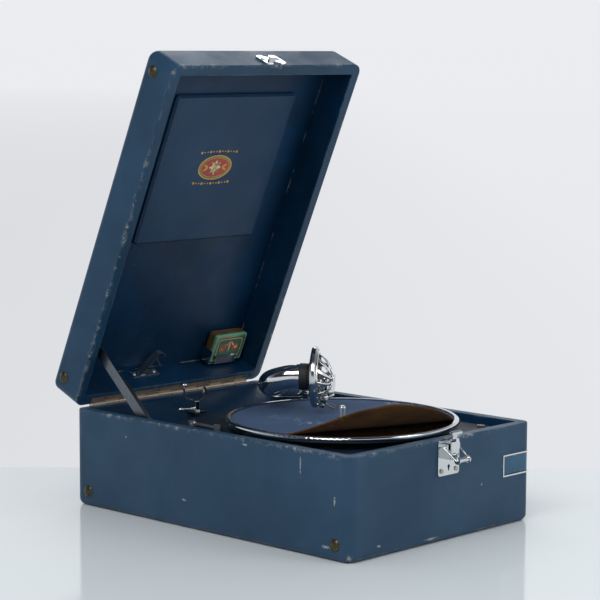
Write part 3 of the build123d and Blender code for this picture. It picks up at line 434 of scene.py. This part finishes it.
def ring_band(vertices, faces, profile, out, count=120):
    """A turned ring from a closed profile of radius and height pairs."""
    first, n = len(vertices), len(profile)
    for k in range(count):
        a = math.tau * k / count
        vertices += [on_box(r * math.cos(a), r * math.sin(a), z, out) for r, z in profile]
    for k in range(count):
        for i in range(n):
            here, there = first + k * n, first + (k + 1) % count * n
            j = (i + 1) % n
            faces.append((here + i, there + i, there + j, here + j))


def pinwheel_grille():
    """The pierced dome: curved, dished vanes from a hub to a beaded rim."""
    out, radius, height, vanes, hub, steps = 19.4, 26.5, 17.0, 11, 4.0, 26
    section_shape = [(-1, -0.1), (-0.55, 0.62), (0, 1.0), (0.55, 0.62),
                     (1, -0.1), (0.5, -0.9), (-0.5, -0.9)]
    ball = (radius ** 2 + height ** 2) / (2 * height)
    vertices, faces = [], []

    def dome(r):
        return math.sqrt(ball ** 2 - r ** 2) + height - ball

    for v in range(vanes):
        start = math.tau * (v + 0.5) / vanes - math.pi / 2
        rows = []
        for i in range(steps + 1):
            t = i / steps
            r = hub + (radius + 0.4 - hub) * t
            turn = start + 0.62 * (1 - t) ** 1.3
            half = 1.1 + 2.7 * t ** 1.4 if t < 0.93 else 3.8
            z = dome(min(r, radius))
            section = []
            for across, rise in section_shape:
                a = turn + across * half / r
                section.append(on_box(r * math.cos(a), r * math.sin(a), z + rise * 0.75, out))
            rows.append(section)
        swept_strip(vertices, faces, rows)
    ring_band(vertices, faces, [(24.6, 0.2), (26.2, 2.9), (27.6, 3.1), (28.4, 1.8), (28.6, 0.2)], out)
    ring_band(vertices, faces, [(2.4, dome(2.4) - 1.2), (2.2, dome(2.2) + 0.9), (3.6, dome(3.6) + 1.1),
                                (5.4, dome(5.4) + 0.5), (5.2, dome(5.2) - 1.0)], out, 64)
    piece = new_piece("pinwheel_grille", vertices, faces, [bright], "neck")
    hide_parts("soundbox_grille")


def tube_along(vertices, faces, points, radii, out, count=14):
    """A round bar through points given in front of the sound box."""
    rows = []
    for i, (p, r) in enumerate(zip(points, radii)):
        before, after = points[max(i - 1, 0)], points[min(i + 1, len(points) - 1)]
        run = (Vector(after) - Vector(before)).normalized()
        side = Vector((1, 0, 0)) if abs(run.x) < 0.9 else Vector((0, 1, 0))
        u = run.cross(side).normalized()
        w = run.cross(u)
        rows.append([on_box(*(Vector(p) + (u * math.cos(a) + w * math.sin(a)) * r), out)
                     for a in (math.tau * k / count for k in range(count))])
    swept_strip(vertices, faces, rows)


def stylus_piece():
    """The chuck under the rim, its block and the bar that runs in behind the dome."""
    out = 20.2
    vertices, faces = [], []
    lean = math.radians(24)
    axis = Vector((0, -math.cos(lean), -math.sin(lean)))
    centre = Vector((0, -27.6, 6.2))
    steps = [(-5.5, 2.7), (-5.2, 3.3), (-1.5, 3.3), (-1.2, 2.7),
             (1.2, 2.7), (1.6, 3.3), (5.0, 3.3), (5.5, 2.5)]
    chuck = [tuple(centre + axis * s) for s, _ in steps]
    tube_along(vertices, faces, chuck, [r for _, r in steps], out, 24)
    block = [(x, -24.2, 3.4) for x in (-4.4, -4.2, 4.2, 4.4)]
    tube_along(vertices, faces, block, [1.6, 2.2, 2.2, 1.6], out, 20)
    bar = [(0, y, z) for y, z in (
        (-25.0, 4.6), (-21.5, 6.2), (-16.0, 6.6), (-8.0, 5.8), (-2.0, 4.6), (-0.9, 2.4), (-0.9, 0.1))]
    tube_along(vertices, faces, bar, [1.5, 1.4, 1.2, 1.0, 0.9, 0.9, 0.9], out)
    piece = new_piece("stylus_piece", vertices, faces, [steel], "neck")
    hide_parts("stylus_bar")


def on_lid(x, y, z):
    """A point of the shut lid, in millimetres, at its place with the lid up."""
    point = Vector((x, y, z)) / 1000 - HINGE
    return HINGE + Matrix.Rotation(-LID_TURN, 3, "X") @ point


class Inlay:
    """Flat shapes of thin paint on a face that looks down when the lid is shut."""

    def __init__(self, centre, face, materials):
        self.centre, self.face, self.materials = centre, face, materials
        self.vertices, self.faces, self.chosen = [], [], []

    def shape(self, outline, material, rise):
        """A filled outline that stands a hair proud of the face."""
        first = len(self.vertices)
        for low in (False, True):
            z = self.face - (0.0 if low else rise)
            self.vertices += [on_lid(self.centre[0] + u, self.centre[1] + v, z) for u, v in outline]
        n = len(outline)
        self.faces.append(tuple(first + i for i in range(n)))
        self.chosen.append(self.materials.index(material))
        for i in range(n):
            j = (i + 1) % n
            self.faces.append((first + i, first + n + i, first + n + j, first + j))
            self.chosen.append(self.materials.index(material))

    def loop(self, size, count=48, power=2.0, at=(0, 0)):
        """An oval, or with a higher power a rectangle with rounded corners."""
        points = []
        for i in range(count):
            a = math.tau * i / count
            c, s = math.cos(a), math.sin(a)
            u = size[0] * math.copysign(abs(c) ** (2 / power), c)
            v = size[1] * math.copysign(abs(s) ** (2 / power), s)
            points.append((at[0] + u, at[1] + v))
        return points

    def leaf(self, at, length, width, turn):
        """A pointed leaf that grows from a point."""
        points = []
        for i in range(24):
            t = i / 12
            along = length * (t if t <= 1 else 2 - t)
            half = width * math.sin(math.pi * min(t, 2 - t) ** 0.8)
            across = half if t <= 1 else -half
            points.append((at[0] + along * math.cos(turn) - across * math.sin(turn),
                           at[1] + along * math.sin(turn) + across * math.cos(turn)))
        return points

    def done(self, name, body):
        new_piece(name, self.vertices, self.faces, self.materials, body, self.chosen, False)


def lid_ornament():
    """An oval rosette with a leaf at each side and two rows of beads."""
    art = Inlay((-4.0, -66.0), 140.0, [gold_line, red_field, cream_field, green_field])
    art.shape(art.loop((25, 15)), gold_line, 0.05)
    art.shape(art.loop((23.2, 13.4)), green_field, 0.08)
    art.shape(art.loop((21.8, 12.1)), gold_line, 0.11)
    art.shape(art.loop((21.0, 11.4)), red_field, 0.14)
    for k in range(8):
        art.shape(art.leaf((0, 0), 9.6, 1.9, math.tau * k / 8), cream_field, 0.17 + 0.01 * (k % 2))
    art.shape(art.loop((2.6, 2.6)), gold_line, 0.22)
    for side in (-1, 1):
        base = 0.0 if side > 0 else math.pi
        for bend in (-0.5, 0.5):
            art.shape(art.leaf((side * 10.6, 0), 8.6, 1.3, base + bend), gold_line, 0.19)
    for side in (-1, 1):
        for k in range(-6, 7):
            bead = 0.9 if k % 3 else 1.5
            middle = (k * 4.4, side * (19.5 - 0.03 * k * k))
            art.shape(art.loop((bead, bead), 16, at=middle), gold_line, 0.06)
    art.done("lid_ornament", "lid")


def tin_ornament():
    """A fan of leaves between two rosettes on the tin's cover."""
    art = Inlay((99.4, 168.1), 129.0, [gold_line, red_field, cream_field, green_field])
    art.shape(art.loop((22.6, 15.2), 64, power=9.0), gold_line, 0.05)
    art.shape(art.loop((21.4, 14.0), 64, power=9.0), green_field, 0.08)
    art.shape(art.loop((19.4, 12.0), 64, power=9.0), cream_field, 0.11)
    art.shape(art.loop((18.6, 11.2), 64, power=9.0), green_field, 0.14)
    for side in (-1, 1):
        art.shape(art.loop((5.4, 5.4), 40, at=(side * 10.4, 0)), gold_line, 0.17)
        art.shape(art.loop((4.6, 4.6), 40, at=(side * 10.4, 0)), red_field, 0.20)
        for k in range(5):
            turn = math.tau * k / 5 + 0.3 * side
            art.shape(art.leaf((side * 10.4, 0), 4.0, 0.9, turn), cream_field, 0.23 + 0.01 * (k % 2))
    for k in range(-3, 4):
        turn = math.pi / 2 + 0.42 * k
        paint = red_field if k % 2 else cream_field
        art.shape(art.leaf((0, -8.6), 15.0 - abs(k) * 2.2, 1.1, turn), paint, 0.26 + 0.01 * (k + 3))
    art.done("tin_ornament", "tin")


curled_mat()
pinwheel_grille()
stylus_piece()
lid_ornament()
tin_ornament()


def camera():
    """The photograph's viewpoint, from its measured vanishing lines."""
    elevation, bearing, roll = math.radians(-6.7365), math.radians(46.4297), math.radians(0.205)
    level = math.cos(elevation)
    look = Vector((math.sin(bearing) * level, math.cos(bearing) * level, math.sin(elevation)))
    right = Vector((math.cos(bearing), -math.sin(bearing), 0))
    up = right.cross(look)
    c, s = math.cos(roll), math.sin(roll)
    right, up = right * c + up * s, up * c - right * s
    made = bpy.data.objects.new("camera", bpy.data.cameras.new("camera"))
    bpy.context.scene.collection.objects.link(made)
    turn = Matrix((right, up, -look)).transposed().to_4x4()
    made.matrix_world = Matrix.Translation((-1.6352, -1.55536, 0.49673)) @ turn
    made.data.lens = 127.47
    made.data.sensor_width = 36.0
    made.data.clip_end = 400.0
    bpy.context.scene.camera = made


def soft_lamp(name, place, aim, size, power, colour):
    """A rectangular lamp that the camera doesn't see."""
    data = bpy.data.lights.new(name, "AREA")
    data.shape = "RECTANGLE"
    data.size, data.size_y = size
    data.energy = power
    data.color = colour
    lamp = bpy.data.objects.new(name, data)
    bpy.context.scene.collection.objects.link(lamp)
    lamp.location = place
    lamp.rotation_euler = (Vector(aim) - Vector(place)).to_track_quat("-Z", "Y").to_euler()
    lamp.visible_camera = False


def pale_table():
    """A glossy pale table top that ends just behind the object, in front of a pale wall colour."""
    mesh = bpy.data.meshes.new("table_top")
    half = 200
    corners = [(-half, -half, 0), (half, -half, 0), (half, half, 0), (-half, half, 0)]
    mesh.from_pydata(corners, [], [(0, 1, 2, 3)])
    table = bpy.data.objects.new("table_top", mesh)
    bpy.context.scene.collection.objects.link(table)
    f = Finish("table_gloss", 0.09)
    # side: the table top is painted lighter towards the right, a painted falloff of light across it.
    side = f.span(f.vector("DOT_PRODUCT", {0: f.place, 1: RIGHTWARD}, "Value"), -0.8, 0.8)
    uneven = f.span(f.noise(3.0, 3.0), 0.3, 0.7, -0.1, 0.1)
    f.colour(f.blend(f.calc("ADD", side, uneven), "ced4d7", "e1e7e9"))
    f.roughness(f.span(f.noise(5.0, 3.0), 0.3, 0.7, 0.07, 0.13))
    distance = f.vector("DOT_PRODUCT", {0: f.place, 1: AWAY}, "Value")
    # The wall colour is also painted lighter towards the right, as painted light, and turns an even pale
    # colour far off.
    tint = f.blend(f.span(distance, 2.0, 25.0), f.blend(side, "dadce0", "e8eaee"), "ebecf0")
    wall = f.node("ShaderNodeEmission", {"Color": tint, "Strength": 1.0}).outputs[0]
    beyond = f.span(distance, 0.236, 0.240)
    mixed = f.node("ShaderNodeMixShader", {0: beyond, 1: f.shader.outputs[0], 2: wall})
    f.tree.links.new(mixed.outputs[0], f.tree.nodes["Material Output"].inputs["Surface"])
    mesh.materials.append(f.material)


def studio():
    """A pale surround: the camera and mirrors see the wall, and the object gets soft light."""
    world = bpy.data.worlds.new("studio")
    bpy.context.scene.world = world
    world.use_nodes = True
    g = Graph(world.node_tree)
    direction = g.node("ShaderNodeTexCoord").outputs["Generated"]
    height = g.node("ShaderNodeSeparateXYZ", {0: direction}).outputs[2]
    sky = g.node("ShaderNodeValToRGB", {0: g.span(height, -1.0, 1.0)})
    first, last = sky.color_ramp.elements
    first.position, first.color = 0.5, from_hex("ebecf0")
    last.position, last.color = 1.0, from_hex("5a6068")
    for position, tint in ((0.53, "edeef2"), (0.62, "e6e9ed"), (0.74, "8b9198")):
        sky.color_ramp.elements.new(position).color = from_hex(tint)
    toward = tuple(-v for v in AWAY)
    behind = g.span(g.vector("DOT_PRODUCT", {0: direction, 1: toward}, "Value"), -0.25, 0.35)
    unlit = g.calc("MULTIPLY", behind, g.span(height, 0.10, 0.28))
    seen = g.tree.nodes["Background"]
    g.feed(seen.inputs["Color"], g.blend(unlit, sky.outputs[0], "262b32"))
    glow = g.span(height, -0.1, 0.9, 0.42, 0.8)
    lit = g.node("ShaderNodeBackground", {"Color": (0.93, 0.97, 1.0, 1.0), "Strength": glow})
    path = g.node("ShaderNodeLightPath").outputs
    mirrored = g.calc("MAXIMUM", path["Is Camera Ray"], path["Is Glossy Ray"])
    pick = g.node("ShaderNodeMixShader", {0: mirrored, 1: lit.outputs[0], 2: seen.outputs[0]})
    g.feed(g.tree.nodes["World Output"].inputs["Surface"], pick.outputs[0])
    soft_lamp("key", (-1.9, -0.6, 2.1), (0, 0, 0.1), (1.6, 1.2), 30.0, (1.0, 0.98, 0.95))
    soft_lamp("front", (0.9, -2.4, 1.2), (0, 0, 0.1), (1.2, 1.4), 16.0, (0.95, 0.98, 1.0))
    soft_lamp("rear", (1.6, 1.8, 1.9), (0, 0, 0.15), (1.4, 1.0), 12.0, (1.0, 1.0, 1.0))


camera()
pale_table()
studio()
bpy.context.scene.view_settings.view_transform = "Standard"
